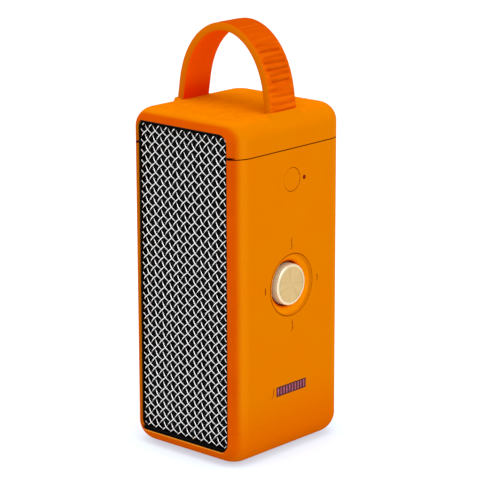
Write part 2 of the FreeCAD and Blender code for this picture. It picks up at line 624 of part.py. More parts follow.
def driver(side, facing, at):
    basket = piece(f"{side}_driver_basket", facing, at)
    pad(basket, "Z", "0", "flange_thick", block("0", "0", "flange_wide", "flange_wide", "flange_corner"))
    cut(basket, "Z", "0", "flange_thick", circle("0", "0", "basket_mouth"),
        *circles(DRIVER_SCREWS, "small_radius + screw_gap"))
    turn(basket,
         ("basket_neck", "0.2"),
         ("basket_neck", "-3"),
         ("basket_waist", "-basket_taper"),
         ("basket_waist", "-basket_deep"),
         ("coil_gap_radius + 0.2", "-basket_deep"),
         ("coil_gap_radius + 0.2", "-basket_deep + basket_sheet"),
         ("spider_radius - 1.4", "-basket_deep + basket_sheet"),
         ("spider_radius - 1.4", "-spider_deep"),
         ("spider_radius + 0.1", "-spider_deep"),
         ("spider_radius + 0.1", "-spider_deep + 1"),
         ("seat_radius", "-3"),
         ("seat_radius", "-basket_sheet"),
         ("basket_mouth", "-basket_sheet"),
         ("basket_mouth", "0.2"))
    yoke = piece(f"{side}_driver_yoke", facing, at)
    turn(yoke,
         ("0", "-yoke_deep"),
         ("magnet_radius", "-yoke_deep"),
         ("magnet_radius", "-magnet_deep"),
         ("pole_radius", "-magnet_deep"),
         ("pole_radius", "-pole_deep"),
         ("0", "-pole_deep"))
    magnet = piece(f"{side}_driver_magnet", facing, at)
    turn(magnet,
         ("coil_gap_radius", "-magnet_deep"),
         ("magnet_radius", "-magnet_deep"),
         ("magnet_radius", "-basket_deep"),
         ("coil_gap_radius", "-basket_deep"))
    driver_cone(side, facing, at)
    surround = piece(f"{side}_driver_surround", facing, at)
    turn(surround,
         ("basket_mouth - 0.1", "-roll_base - roll_thick"),
         ("basket_mouth - 0.1", "-roll_base"),
         ("roll_outer", "-roll_base"),
         ("roll_inner", "-roll_base", "roll_radius", "left"),
         ("cone_edge - cone_lip + 0.1", "-roll_base"),
         ("cone_edge - cone_lip + 0.1", "-roll_base - roll_thick"),
         ("roll_inner + 0.4", "-roll_base - roll_thick"),
         ("roll_outer - 0.4", "-roll_base - roll_thick", "roll_radius - 0.5", "right"))
    driver_spider(side, facing, at)


def driver_cone(side, facing, at):
    """The voice coil's tube, the cone and the domed dust cap, in one piece."""
    cone = piece(f"{side}_driver_cone", facing, at)
    cap_edge, cap_under = "(coil_radius - 0.2)", "(coil_radius - coil_thick)"
    rise, under_rise = "(cone_neck - dome_deep)", "(cone_neck - dome_deep - 0.1)"
    turn(cone,
         (cap_under, "-coil_deep"),
         ("coil_radius", "-coil_deep"),
         ("coil_radius", "-cone_neck - 1"),
         ("cone_edge - cone_lip + 0.1", "-cone_rim - coil_thick"),
         ("cone_edge", "-cone_rim - coil_thick"),
         ("cone_edge", "-cone_rim"),
         ("cone_edge - cone_lip - 0.3", "-cone_rim"),
         (cap_edge, "-cone_neck"),
         ("0", "-dome_deep", f"({cap_edge}^2 + {rise}^2) / (2 * {rise})", "left"),
         ("0", "-dome_deep - coil_thick"),
         (cap_under, "-cone_neck - 0.5", f"({cap_under}^2 + {under_rise}^2) / (2 * {under_rise})", "right"))


def driver_spider(side, facing, at):
    """A thin corrugated ring that centres the coil."""
    spider = piece(f"{side}_driver_spider", facing, at)
    waves = (("10.5", "9.4"), ("11.8", "9.8"), ("12.6", "9.4"), ("13.4", "9.8"), ("14.4", "9.55"),
             ("spider_radius", "9.55"))
    under = [(radius, f"-{depth} - spider_thick") for radius, depth in waves]
    over = [(radius, f"-{depth}") for radius, depth in reversed(waves)]
    turn(spider, *under, *over)


def lip_block(inset):
    """A rectangle inside the radiator's hole in the baffle, smaller by an inset all round."""
    return block("0", "0", f"radiator_wide - 2 * ({inset})", f"radiator_tall - 2 * ({inset})",
                 f"radiator_corner - ({inset})")


def radiator(side, facing, at):
    frame = piece(f"{side}_radiator_frame", facing, at)
    pad(frame, "Z", "0", "flange_thick",
        block("0", "0", "flange_wide", "radiator_flange_tall", "flange_corner - 1"))
    pad(frame, "Z", "-lip_deep", "0.2", lip_block("lip_gap"))
    cut(frame, "Z", "-lip_deep", "flange_thick", lip_block("lip_wall + lip_gap"))
    cut(frame, "Z", "-skirt_deep", "flange_thick", lip_block("lip_step"))
    cut(frame, "Z", "0", "flange_thick", *circles(RADIATOR_SCREWS, "small_radius + screw_gap"))
    surround = piece(f"{side}_radiator_surround", facing, at)
    top = "roll_rise - skirt_deep + skirt_thick - 0.1"
    pad(surround, "Z", "-skirt_deep", "-skirt_deep + skirt_thick", lip_block("skirt_edge"))
    pad(surround, "Z", "-skirt_deep + skirt_thick - 0.1", top, lip_block("roll_edge"))
    soften(surround, "roll_round", lies_at(top))
    cut(surround, "Z", "-skirt_deep", "0",
        block("0", "0", "plate_wide - 2 * skirt_overlap", "plate_tall - 2 * skirt_overlap",
              "plate_corner - skirt_overlap"))
    cut(surround, "Z", "-skirt_deep + skirt_thick", "0",
        block("0", "0", "plate_wide", "plate_tall", "plate_corner"))
    plate = piece(f"{side}_radiator_plate", facing, at)
    back = "-plate_deep - plate_thick"
    pad(plate, "Z", back, "-plate_deep", block("0", "0", "plate_wide", "plate_tall", "plate_corner"))
    pad(plate, "Z", f"{back} - weight_thick", back,
        block("0", "0", "weight_wide", "weight_tall", "weight_corner"))


def baffle_screws(side, facing, driver_place, radiator_place):
    places = moved(DRIVER_SCREWS, "0", driver_place) + moved(RADIATOR_SCREWS, "0", radiator_place)
    screws(f"{side}_baffle_screws", "Z", places, ("flange_thick", "flange_thick + small_head_tall"),
           ("flange_thick - small_long", "flange_thick"), "small_head", "small_radius",
           facing, ("0", "-baffle_face" if side == "front" else "baffle_face", "0"))


# --- the knob and its switch, drawn outwards from the face of the control side ---

KNOB_AT = (SIDE, "0", "knob_high")
PIVOT = "(knob_pivot - body_wide/2)"


def knob_dish():
    body = piece("knob_dish", "side", KNOB_AT)
    underside = "-well_deep - well_floor"
    turn(body,
         ("well_hole", underside),
         ("well_radius", underside),
         ("well_radius", "-wall - dish_flange_thick"),
         ("dish_flange", "-wall - dish_flange_thick"),
         ("dish_flange", "-wall"),
         ("dish_radius", "-wall"),
         ("dish_radius", "0"),
         ("dish_rim", "0"),
         ("dish_rim", "-rim_step"),
         ("bowl_radius", "-bowl_deep", "bowl_round", "right"),
         ("bowl_radius", "-well_deep"),
         ("well_hole", "-well_deep"))


def control_knob():
    body = piece("control_knob", "side", KNOB_AT)
    socket = "stem_radius + stem_fit"
    turn(body,
         ("0", "0"),
         ("ring_inner", "0"),
         ("ring_inner", "-ring_deep"),
         ("ring_outer", "-ring_deep"),
         ("ring_outer", "0"),
         ("knob_radius - knob_bevel", "0"),
         ("knob_radius", "-knob_bevel", "bevel_radius", "right"),
         ("knob_radius", "-knob_tall"),
         ("skirt_inner", "-knob_tall"),
         ("skirt_inner", "-knob_skin"),
         ("hub_radius", "-knob_skin"),
         ("hub_radius", "-hub_deep"),
         (socket, "-hub_deep"),
         (socket, "-stem_top + stem_fit"),
         ("0", "-stem_top + stem_fit"))


def knob_stem():
    """The stem that the knob is pressed on, with a collar and two pins at the pivot."""
    body = piece("knob_stem", "side", KNOB_AT)
    turn(body,
         ("0", "-stem_top"),
         ("stem_radius", "-stem_top"),
         ("stem_radius", f"{PIVOT} + ball_half + 0.2"),
         ("ball_radius", f"{PIVOT} + ball_half"),
         ("ball_radius", f"{PIVOT} - ball_half"),
         ("0", f"{PIVOT} - ball_half"))
    pad(body, "Y", "-stem_pin", "stem_pin", circle("0", PIVOT, "pivot_pin"))


def knob_switch():
    """The ring that carries the stem's pins, the cup that carries the ring's pins, and the case."""
    ring = piece("gimbal_ring", "side", KNOB_AT)
    turn(ring,
         ("ring_hole", f"{PIVOT} - ring_half"),
         ("ring_rim", f"{PIVOT} - ring_half"),
         ("ring_rim", f"{PIVOT} + ring_half"),
         ("ring_hole", f"{PIVOT} + ring_half"))
    cut(ring, "Y", "-ring_rim - 0.4", "ring_rim + 0.4", circle("0", PIVOT, "pivot_hole"))
    for low, high in (("ring_pin_from", "ring_pin_to"), ("-ring_pin_to", "-ring_pin_from")):
        pad(ring, "X", low, high, circle("0", PIVOT, "pivot_pin"))
    cup = piece("switch_plunger", "side", KNOB_AT)
    turn(cup,
         ("0", f"{PIVOT} - cup_deep"),
         ("cup_radius", f"{PIVOT} - cup_deep"),
         ("cup_radius", f"{PIVOT} + cup_top"),
         ("cup_hole", f"{PIVOT} + cup_top"),
         ("cup_hole", f"{PIVOT} - cup_deep + cup_floor"),
         ("0", f"{PIVOT} - cup_deep + cup_floor"))
    cut(cup, "X", "-cup_radius - 1", "cup_radius + 1", circle("0", PIVOT, "pivot_hole"))
    case = piece("knob_switch", "side", KNOB_AT)
    pad(case, "Z", "board_face - body_wide/2", f"{PIVOT} + case_top",
        block("0", "0", "case_wide", "case_wide", "case_corner"))
    cut(case, "Z", f"{PIVOT} - case_deep", f"{PIVOT} + case_top", circle("0", "0", "case_hole"))


def button_group():
    at = (SIDE, "button_across", "button_high")
    button = piece("pairing_button", "side", at)
    turn(button,
         ("0", "-plunger_long"),
         ("plunger_radius", "-plunger_long"),
         ("plunger_radius", "-flange_base"),
         ("button_flange", "-flange_base"),
         ("button_flange", "-flange_top"),
         ("button_radius", "-flange_top"),
         ("button_radius", "-0.2"),
         ("button_radius - 0.2", "0"),
         ("0", "0"))
    switch = piece("pairing_switch", "side", at)
    pad(switch, "Z", "board_face - body_wide/2", "-tact_top",
        block("0", "0", "tact_wide", "tact_wide", "0.4"))
    cut(switch, "Z", "-tact_deep", "-tact_top", circle("0", "0", "tact_hole"))
    lamp = piece("status_light_pipe")
    pad(lamp, "X", "board_face + 1.2", SIDE, circle("lamp_across", "lamp_high", "lamp_radius"))


def gauge_group():
    window = piece("gauge_window")
    pad(window, "X", "body_wide/2 - gauge_thick", SIDE, gauge_shape("0"))
    cut(window, "X", "body_wide/2 - gauge_thick", SIDE, *bar_shapes())
    bars = piece("gauge_bars")
    pad(bars, "X", "body_wide/2 - gauge_thick", "body_wide/2 - 0.05", *bar_shapes())
    guide = piece("gauge_light_guide")
    pad(guide, "X", "guide_back", "body_wide/2 - gauge_thick",
        block("0", "gauge_high", "gauge_wide - 0.6", "gauge_tall - 0.6"))
    marks = piece("panel_marks")
    pad(marks, "X", "body_wide/2 - mark_deep", SIDE, *mark_shapes())


# --- what is inside ---

def control_board():
    board = piece("control_board")
    middle, tall = "(board_base + board_top)/2", "(board_top - board_base)"
    back = "board_face - board_thick"
    pad(board, "X", back, "board_face", block("0", middle, "board_wide", tall, "1"))
    cut(board, "X", back, "board_face", *circles(POSTS, "small_radius + screw_gap"))
    parts = piece("control_board_parts")
    pad(parts, "X", "board_face", "board_face + 1.1", block("lamp_across", "lamp_high", "2", "2"),
        *[block(f"{index - 4.5} * bar_pitch", "gauge_high", "1.2", "2") for index in range(10)])
    pad(parts, "X", "board_face", "board_face + 1.4", block("-6", "50", "7", "7"), block("7", "48", "4", "5"),
        block("-8", "110", "5", "6"), block("8", "108", "3", "3"))
    screws("board_screws", "X", POSTS, (f"{back} - small_head_tall", back), (back, "board_face + 5"),
           "small_head", "small_radius")


def tray_group():
    middle = "tray_face + tray_thick/2"
    tray = piece("chassis_tray")
    tall = "(tray_top - tray_base)"
    pad(tray, "Y", "tray_face", "tray_face + tray_thick",
        block("0", "(tray_base + tray_top)/2", "tray_wide", tall, "1"),
        block("0", "tray_base + tab_tall/2", "tray_tab", "tab_tall"),
        block("0", "tray_top - tab_tall/2 + 1.1", "tray_tab", "tab_tall - 2.2"))
    holder = piece("battery_cradle")
    pad(holder, "Z", "cell_base + 6", "cell_base + cell_long - 6",
        block("0", "(tray_face + cell_deep - 1)/2", "tray_wide", "(tray_face - cell_deep + 1)"))
    cells = [circle(f"{side} * cell_across", "cell_deep", "cell_radius + 0.1") for side in (-1, 1)]
    cut(holder, "Z", "cell_base + 6", "cell_base + cell_long - 6", *cells)
    battery = piece("battery_cells")
    pad(battery, "Z", "cell_base", "cell_base + cell_long - 1",
        *[circle(f"{side} * cell_across", "cell_deep", "cell_radius") for side in (-1, 1)])
    pad(battery, "Z", "cell_base + cell_long - 1", "cell_base + cell_long",
        *[circle(f"{side} * cell_across", "cell_deep", "2.8") for side in (-1, 1)])
    board = piece("main_board")
    pad(board, "Y", "main_face", "main_face + board_thick",
        block("0", "(main_base + main_top)/2", "main_wide", "(main_top - main_base)", "1"))
    posts = four("(main_wide/2 - 3)", "((main_top - main_base)/2 - 3)")
    places = moved(posts, "0", "(main_base + main_top)/2")
    cut(board, "Y", "main_face", "main_face + board_thick", *circles(places, "small_radius + screw_gap"))
    pad(tray, "Y", "tray_face + tray_thick", "main_face", *circles(places, "2.2"))
    cut(tray, "Y", "tray_face", "main_face", *circles(places, "small_radius + screw_gap"))
    screws("main_board_screws", "Y", places, ("main_face + board_thick", "main_face + board_thick + 1"),
           ("tray_face + 0.2", "main_face + board_thick"), "small_head", "small_radius")
    parts = piece("main_board_parts")
    top = "main_face + board_thick"
    pad(parts, "Y", top, f"{top} + 1.2", block("-6", "122", "9", "9"), block("7", "124", "6", "6"),
        block("0", "96", "7", "5"))
    pad(parts, "Y", top, f"{top} + 4", block("-9", "106", "6", "6"), block("9", "106", "6", "6"))
    pad(parts, "Y", top, f"{top} + 6", circle("-2", "108", "2.5"), circle("4", "114", "2.5"))


def charging_group():
    socket = piece("charging_socket")
    shape = ("port_deep", "port_high")
    back = "shell_long - socket_out"
    pad(socket, "X", "-socket_out", back,
        block(*shape, "shell_wide", "shell_tall", "shell_tall/2 - 0.01"))
    cut(socket, "X", "-socket_out", f"{back} - 2 * shell_wall",
        block(*shape, "shell_wide - 2 * shell_wall", "shell_tall - 2 * shell_wall", "shell_tall/2 - 0.32"))
    pad(socket, "X", "1 - socket_out", f"{back} - 0.5", block(*shape, "tongue_wide", "tongue_thick"))
    board = piece("charging_board")
    low = "port_high - shell_tall/2 - board_thick"
    pad(board, "Z", low, f"{low} + board_thick",
        block("-board_reach", "port_deep", "board_run", "charge_board", "0.5"))


def build():
    main_housing()
    top_cap()
    base_cap()
    cap_gaskets()
    cap_screws()
    feet()
    carry_strap()
    strap_pins()
    for side, facing, plain in (("front", "front", "plain"), ("rear", "rear", "turned")):
        grille_frame(f"{side}_grille_frame", plain)
        grille_cloth(f"{side}_grille_cloth", plain)
        grille_mesh(f"{side}_grille", plain)
        face = "-baffle_face" if side == "front" else "baffle_face"
        driver_place, radiator_place = ((FRONT_DRIVER, FRONT_RADIATOR) if side == "front"
                                        else (REAR_DRIVER, REAR_RADIATOR))
        driver(side, facing, ("0", face, driver_place))
        radiator(side, facing, ("0", face, radiator_place))
        baffle_screws(side, facing, driver_place, radiator_place)
    knob_dish()
    control_knob()
    knob_stem()
    knob_switch()
    button_group()
    gauge_group()
    control_board()
    tray_group()
    charging_group()


def export():
    """Checks every object of the document and writes one file for each piece."""
    doc.recompute()
    failed = [item.Label for item in doc.Objects if "Invalid" in item.State or "Error" in item.State]
    empty = [name for name, body in pieces.items() if body.Shape.isNull() or not body.Shape.isValid()]
    if failed or empty:
        sys.exit(f"failed objects: {failed}; bad shapes: {empty}")
    os.makedirs("parts", exist_ok=True)
    for name, body in pieces.items():
        body.Shape.exportStep(f"parts/{name}.step")
        print(name, round(body.Shape.Volume, 1), len(body.Shape.Solids))


build()
export()
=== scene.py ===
"""The looks of an upright portable loudspeaker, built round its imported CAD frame. Lengths are in metres."""

import math
import random

import bpy
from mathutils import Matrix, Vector

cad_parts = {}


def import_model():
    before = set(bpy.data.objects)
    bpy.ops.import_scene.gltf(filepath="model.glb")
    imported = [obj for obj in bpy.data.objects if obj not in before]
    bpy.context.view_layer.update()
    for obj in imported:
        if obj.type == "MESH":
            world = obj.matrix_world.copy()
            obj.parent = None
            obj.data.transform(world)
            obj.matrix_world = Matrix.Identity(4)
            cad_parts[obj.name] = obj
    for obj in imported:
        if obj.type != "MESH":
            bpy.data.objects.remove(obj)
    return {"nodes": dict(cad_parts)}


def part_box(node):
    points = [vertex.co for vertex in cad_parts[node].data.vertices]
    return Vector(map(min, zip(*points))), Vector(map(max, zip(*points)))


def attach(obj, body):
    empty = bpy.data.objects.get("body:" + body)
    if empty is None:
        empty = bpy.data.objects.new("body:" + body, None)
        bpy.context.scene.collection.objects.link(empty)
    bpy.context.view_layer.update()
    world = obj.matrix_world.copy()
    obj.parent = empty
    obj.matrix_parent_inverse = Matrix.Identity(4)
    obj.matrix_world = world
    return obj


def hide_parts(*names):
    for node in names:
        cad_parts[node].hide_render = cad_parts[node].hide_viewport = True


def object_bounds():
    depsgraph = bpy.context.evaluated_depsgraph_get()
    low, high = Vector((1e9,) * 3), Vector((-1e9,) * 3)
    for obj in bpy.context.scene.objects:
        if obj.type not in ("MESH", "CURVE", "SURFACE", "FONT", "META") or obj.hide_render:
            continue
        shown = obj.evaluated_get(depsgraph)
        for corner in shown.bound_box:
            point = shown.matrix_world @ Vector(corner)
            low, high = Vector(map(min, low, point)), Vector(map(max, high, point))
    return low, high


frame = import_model()
cad_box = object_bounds()
scene = bpy.context.scene
MM = 0.001
TAU = 2 * math.pi
ENCLOSURE = "enclosure"

# Where the finishes change, including the painted light and shade. A pair says where a change begins, and where
# it is complete.
# How far the surface's normal lies along an axis; the casing's painted light and shade follow it:
NEAR_CORNER, ON_FRONT, ON_TOP, ON_SIDE = (0.1, 0.35), (0.42, 0.72), (0.70, 0.98), (0.5, 0.9)
LEVEL = 0.6, 0.8                 # facing up or down
UPRIGHT = 0.3, 0.1
# Lengths: heights from the floor, distances from the middle planes, and radii about the knob.
# painted shade: the casing deepens below BASE_SHADE's heights
BASE_SHADE = 36 * MM, 4 * MM
# the front and back get painted shade, a deeper orange, outside FRONT_MIDDLE
FRONT_MIDDLE = 15 * MM, 20 * MM  # the front's deeper orange stays outside this, clear of the strap's feet
# painted shade darkens the casing along SEAM
SEAM = 145.8 * MM                # height of the gap under the top cap
SEAM_EDGE = 0.28 * MM, 0.2 * MM
# painted highlight: a bright band along LIP, under each grille
LIP = 6.88 * MM                  # height of the bright edge under each grille
LIP_EDGE = 0.2 * MM, 0.06 * MM
LIP_FRONT = 37.7 * MM, 37.9 * MM
LIP_SIDE = 27.5 * MM, 25 * MM
# painted shade: the recesses' floors and ceilings inside these are painted black
RECESS_FRONT = 37.9 * MM, 37.7 * MM
RECESS_BACK = 33.0 * MM, 33.2 * MM
RECESS_SIDE = 28.3 * MM, 28.15 * MM
RECESS_LOW = 6.5 * MM, 6.7 * MM
RECESS_HIGH = 157.3 * MM, 157.1 * MM
# painted light brightens the bowl inside BOWL_EDGE; painted shade darkens it towards the knob across BOWL_WALL
BOWL_EDGE = 13.9 * MM, 13.5 * MM
BOWL_WALL = 10.6 * MM, 12.4 * MM
# painted shade darkens the casing along DISH_GROOVE
DISH_GROOVE = 14.72 * MM         # the gap round the knob's dish
GROOVE_EDGE = 0.3 * MM, 0.1 * MM
# painted highlight on the knob's rim across KNOB_RIM
KNOB_RIM = 8.1 * MM, 9.3 * MM
# painted shade: the wires go near black where they dip behind
WIRE_SHADED_TO_LIT = 35.65 * MM, 36.6 * MM
STRAP_ARCH = 165 * MM, 200 * MM
# painted shade: the strap's inner face is darkest below STRAP_INNER_FOOT
STRAP_INNER_FOOT = 163 * MM, 176 * MM
CLOTH_THREAD = 0.55 * MM


# --- materials ---

class Finish:
    """A material being put together. Sizes are in metres, in the object's own space."""

    def __init__(self, name, **sockets):
        self.material = bpy.data.materials.new(name)
        self.material.use_nodes = True
        self.tree = self.material.node_tree
        self.shader = self.tree.nodes["Principled BSDF"]
        for socket, value in sockets.items():
            self.shader.inputs[socket.replace("_", " ")].default_value = value
        self.space = self.add("ShaderNodeTexCoord")
        self.place = self.space.outputs["Object"]

    def add(self, kind, settings=None, **inputs):
        made = self.tree.nodes.new(kind)
        for key, value in (settings or {}).items():
            setattr(made, key, value)
        for key, value in inputs.items():
            self.feed(made.inputs[key.replace("_", " ")], value)
        return made

    def feed(self, socket, value):
        if isinstance(value, bpy.types.NodeSocket):
            self.tree.links.new(value, socket)
        else:
            socket.default_value = value

    def maths(self, operation, first, second=0.0):
        made = self.tree.nodes.new("ShaderNodeMath")
        made.operation = operation
        self.feed(made.inputs[0], first)
        self.feed(made.inputs[1], second)
        return made.outputs[0]

    def absolute(self, value):
        return self.maths("ABSOLUTE", value)

    def distance(self, value, centre):
        return self.absolute(self.maths("SUBTRACT", value, centre))

    def product(self, first, *others):
        for value in others:
            first = self.maths("MULTIPLY", first, value)
        return first

    def radius(self, *offsets):
        """How far a point is from an axis, from its two offsets."""
        squares = [self.maths("POWER", offset, 2.0) for offset in offsets]
        return self.maths("SQRT", self.maths("ADD", *squares))

    def noise(self, size, detail=2.0, stretch=None):
        place = self.place
        if stretch:
            place = self.add("ShaderNodeMapping", Vector=place, Scale=stretch).outputs[0]
        return self.add("ShaderNodeTexNoise", Vector=place, Scale=1 / size, Detail=detail).outputs["Fac"]

    def remap(self, value, low, high, to_low=0.0, to_high=1.0, smooth=False):
        settings = {"interpolation_type": "SMOOTHSTEP"} if smooth else None
        made = self.add("ShaderNodeMapRange", settings, Value=value, From_Min=low, From_Max=high,
                        To_Min=to_low, To_Max=to_high)
        return made.outputs["Result"]

    def mix(self, share, first, second):
        made = self.tree.nodes.new("ShaderNodeMix")
        made.data_type = "RGBA"
        self.feed(made.inputs[0], share)
        for socket, value in ((6, first), (7, second)):
            self.feed(made.inputs[socket], value if isinstance(value, bpy.types.NodeSocket) else (*value, 1))
        return made.outputs[2]

    def blotches(self, size, first, second, detail=2.0, low=0.35):
        """Two colours in soft blotches of one size."""
        return self.mix(self.remap(self.noise(size, detail), low, 1 - low), first, second)

    def split(self, vector):
        return self.add("ShaderNodeSeparateXYZ", Vector=vector).outputs

    def bump(self, height, deep, under=None):
        made = self.add("ShaderNodeBump", Height=height, Distance=deep, Strength=1.0)
        if under:
            self.feed(made.inputs["Normal"], under)
        return made.outputs[0]

    def colour(self, value):
        self.feed(self.shader.inputs["Base Color"], value)

    def roughness(self, uneven, smoothest, roughest):
        """A roughness that follows a noise."""
        self.feed(self.shader.inputs["Roughness"], self.remap(uneven, 0.3, 0.7, smoothest, roughest))

    def normal(self, value):
        self.feed(self.shader.inputs["Normal"], value)


def moulded(name, colour, other, blotch, grain, deep, rough, **sockets):
    """A finish of two close colours in soft blotches, an uneven roughness and a fine grain."""
    made = Finish(name, **sockets)
    made.colour(made.blotches(blotch, colour, other))
    made.roughness(made.noise(blotch / 3), *rough)
    made.normal(made.bump(made.noise(grain, 3.0), deep))
    return made.material


def dish_painted_light_and_shade(made, body, place, facing_side):
    """Adds painted light and shade for the knob's dish to the casing's colour: the bowl painted brighter than
    the casing and darker towards the knob, and painted shade in the gap round its rim.
    """
    wide, across, high = place
    low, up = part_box("knob_dish")
    from_knob = made.radius(made.maths("SUBTRACT", across, (low.y + up.y) / 2),
                            made.maths("SUBTRACT", high, (low.z + up.z) / 2))
    # painted light on the bowl, with painted shade towards the knob
    bowl = made.mix(made.remap(from_knob, *BOWL_WALL, smooth=True), (0.80, 0.10, 0.0), (0.90, 0.28, 0.0))
    in_bowl = made.product(made.remap(from_knob, *BOWL_EDGE), made.remap(wide, 0.0, MM))
    body = made.mix(in_bowl, body, bowl)
    # painted shade in the gap round the dish's rim, on the side face
    groove_shade = made.remap(made.distance(from_knob, DISH_GROOVE), *GROOVE_EDGE)
    return made.mix(made.product(groove_shade, made.remap(facing_side, *ON_SIDE)), body, (0.22, 0.012, 0.0))


def recess_painted_shade_and_highlight(made, body, place, facing_up):
    """Adds painted shade and highlight to the grilles' recesses: the floor and ceiling painted black as shade,
    and a painted highlight along the edge under each opening.
    """
    out_wide, out_across, high = made.absolute(place[0]), made.absolute(place[1]), place[2]
    # painted shade: the recesses' floors and ceilings are painted black
    recess_shade = made.product(made.remap(out_across, *RECESS_FRONT), made.remap(out_wide, *RECESS_SIDE),
                             made.remap(high, *RECESS_LOW), made.remap(high, *RECESS_HIGH),
                             made.remap(out_across, *RECESS_BACK), made.remap(made.absolute(facing_up), *LEVEL))
    body = made.mix(recess_shade, body, (0.006, 0.005, 0.004))
    # painted highlight along the edge under each opening
    lip_highlight = made.product(made.remap(made.distance(high, LIP), *LIP_EDGE), made.remap(out_across, *LIP_FRONT),
                       made.remap(out_wide, *LIP_SIDE))
    return made.mix(lip_highlight, body, (0.90, 0.36, 0.03))


def casing_finish():
    """Soft-touch orange with a fine texture, and painted light and shade: deeper on the front and back and
    towards the base as painted shade, lighter on top as painted light, with a painted sheen on the upright
    corners and painted shade along the seam.
    """
    made = Finish("casing_finish", Specular_IOR_Level=0.0)
    facing_side, facing_front, facing_up = made.split(made.space.outputs["Normal"])
    place = made.split(made.place)
    _, across, high = place
    to_front = made.absolute(facing_front)
    side = made.blotches(30 * MM, (0.612, 0.158, 0.0), (0.597, 0.167, 0.0))
    # painted shade: the front and back are a deeper orange than the sides
    front = made.blotches(12 * MM, (0.525, 0.066, 0.0), (0.545, 0.075, 0.0))
    # painted light: the top is a lighter orange, in finer blotches
    top = made.blotches(4 * MM, (0.645, 0.162, 0.0), (0.68, 0.182, 0.0), detail=3.0)
    # painted sheen: a lighter band on the upright corners between front and side
    corner_sheen = made.product(made.remap(to_front, *NEAR_CORNER, smooth=True),
                                 made.remap(facing_up, *UPRIGHT, 0.0, 0.2))
    body = made.mix(corner_sheen, side, (0.78, 0.25, 0.005))
    front_shade = made.product(made.remap(to_front, *ON_FRONT, smooth=True),
                            made.remap(made.absolute(across), *FRONT_MIDDLE))
    body = made.mix(front_shade, body, front)
    body = made.mix(made.remap(facing_up, *ON_TOP, smooth=True), body, top)
    # painted shade: the casing deepens towards the base
    painted_base_shade = made.product(made.remap(high, *BASE_SHADE, smooth=True), 0.7)
    body = made.mix(painted_base_shade, body, (0.60, 0.088, 0.0))
    body = dish_painted_light_and_shade(made, body, place, facing_side)
    body = recess_painted_shade_and_highlight(made, body, place, facing_up)
    # painted shade along the gap under the top cap
    seam_shade = made.remap(made.distance(high, SEAM), *SEAM_EDGE)
    made.colour(made.mix(seam_shade, body, (0.15, 0.008, 0.001)))
    made.roughness(made.noise(6 * MM), 0.4, 0.5)
    coarse = made.bump(made.noise(1.1 * MM, 3.0), 0.02 * MM)
    made.normal(made.bump(made.noise(0.3 * MM), 0.008 * MM, coarse))
    return made.material


def strap_finish():
    """Soft elastomer, a deeper orange than the casing, with a faint skin texture, and light and shade painted
    by which way a face looks: painted shade on the up-facing outer face, the inner face painted a redder orange
    that is darkest near the feet, and painted light on the flanks.
    """
    made = Finish("strap_finish", Specular_IOR_Level=0.0)
    facing_side, facing_front, facing_up = made.split(made.space.outputs["Normal"])
    across, _, high = made.split(made.place)
    outward = made.maths("ADD", made.product(facing_side, made.product(across, 1 / (30 * MM))),
                         made.product(facing_up, made.remap(high, *STRAP_ARCH)))
    streaks = made.noise(1.5 * MM, stretch=(0.25, 0.12, 1.0))
    outer = made.mix(made.remap(streaks, 0.38, 0.62), (0.58, 0.076, 0.0), (0.66, 0.112, 0.001))
    # painted shade: the outer face darkens where it faces up
    outer = made.mix(made.remap(facing_up, 0.3, 0.95), outer, (0.50, 0.062, 0.0))
    # painted light and shade on the inner face: redder, darkest near the feet
    inner = made.mix(made.remap(high, *STRAP_INNER_FOOT, smooth=True), (0.72, 0.034, 0.0), (0.82, 0.105, 0.0))
    # painted light: the flanks are lighter
    lit_flank = made.mix(made.noise(9 * MM), (0.56, 0.118, 0.0), (0.59, 0.135, 0.0))
    body = made.mix(made.remap(outward, -0.3, 0.2), inner, outer)
    made.colour(made.mix(made.remap(made.absolute(facing_front), 0.4, 0.8), body, lit_flank))
    made.roughness(made.noise(3 * MM), 0.42, 0.55)
    made.normal(made.bump(made.noise(0.4 * MM, 3.0), 0.012 * MM))
    return made.material


def wire_finish():
    """Drawn steel wire, bright where it stands proud, and painted near black as shade where it dips behind."""
    made = Finish("wire_finish", Metallic=1.0)
    depth = made.absolute(made.split(made.place)[1])
    bright = made.blotches(2.5 * MM, (0.93, 0.93, 0.94), (1.0, 1.0, 1.0), low=0.3)
    # painted shade: near black where the wire dips behind, bright where it stands proud
    proud = made.remap(depth, *WIRE_SHADED_TO_LIT, smooth=True)
    made.colour(made.mix(proud, (0.007, 0.007, 0.0075), bright))
    made.roughness(made.noise(1.2 * MM), 0.14, 0.28)
    made.normal(made.bump(made.noise(0.12 * MM), 0.003 * MM))
    return made.material


def cloth_finish():
    """Black acoustic cloth: crossing threads, with open gaps between them."""
    made = Finish("cloth_finish", Specular_IOR_Level=0.05)
    across, _, up = made.split(made.place)
    threads = [made.absolute(made.maths("SINE", made.product(axis, math.pi / CLOTH_THREAD)))
               for axis in (across, up)]
    height = made.maths("MAXIMUM", *threads)
    thread = made.blotches(1.4 * MM, (0.001, 0.001, 0.001), (0.010, 0.010, 0.0105))
    made.colour(made.mix(made.remap(height, 0.35, 0.95), (0.001, 0.001, 0.001), thread))
    made.roughness(made.noise(0.5 * MM), 0.75, 0.95)
    made.normal(made.bump(height, 0.12 * MM))
    return made.material


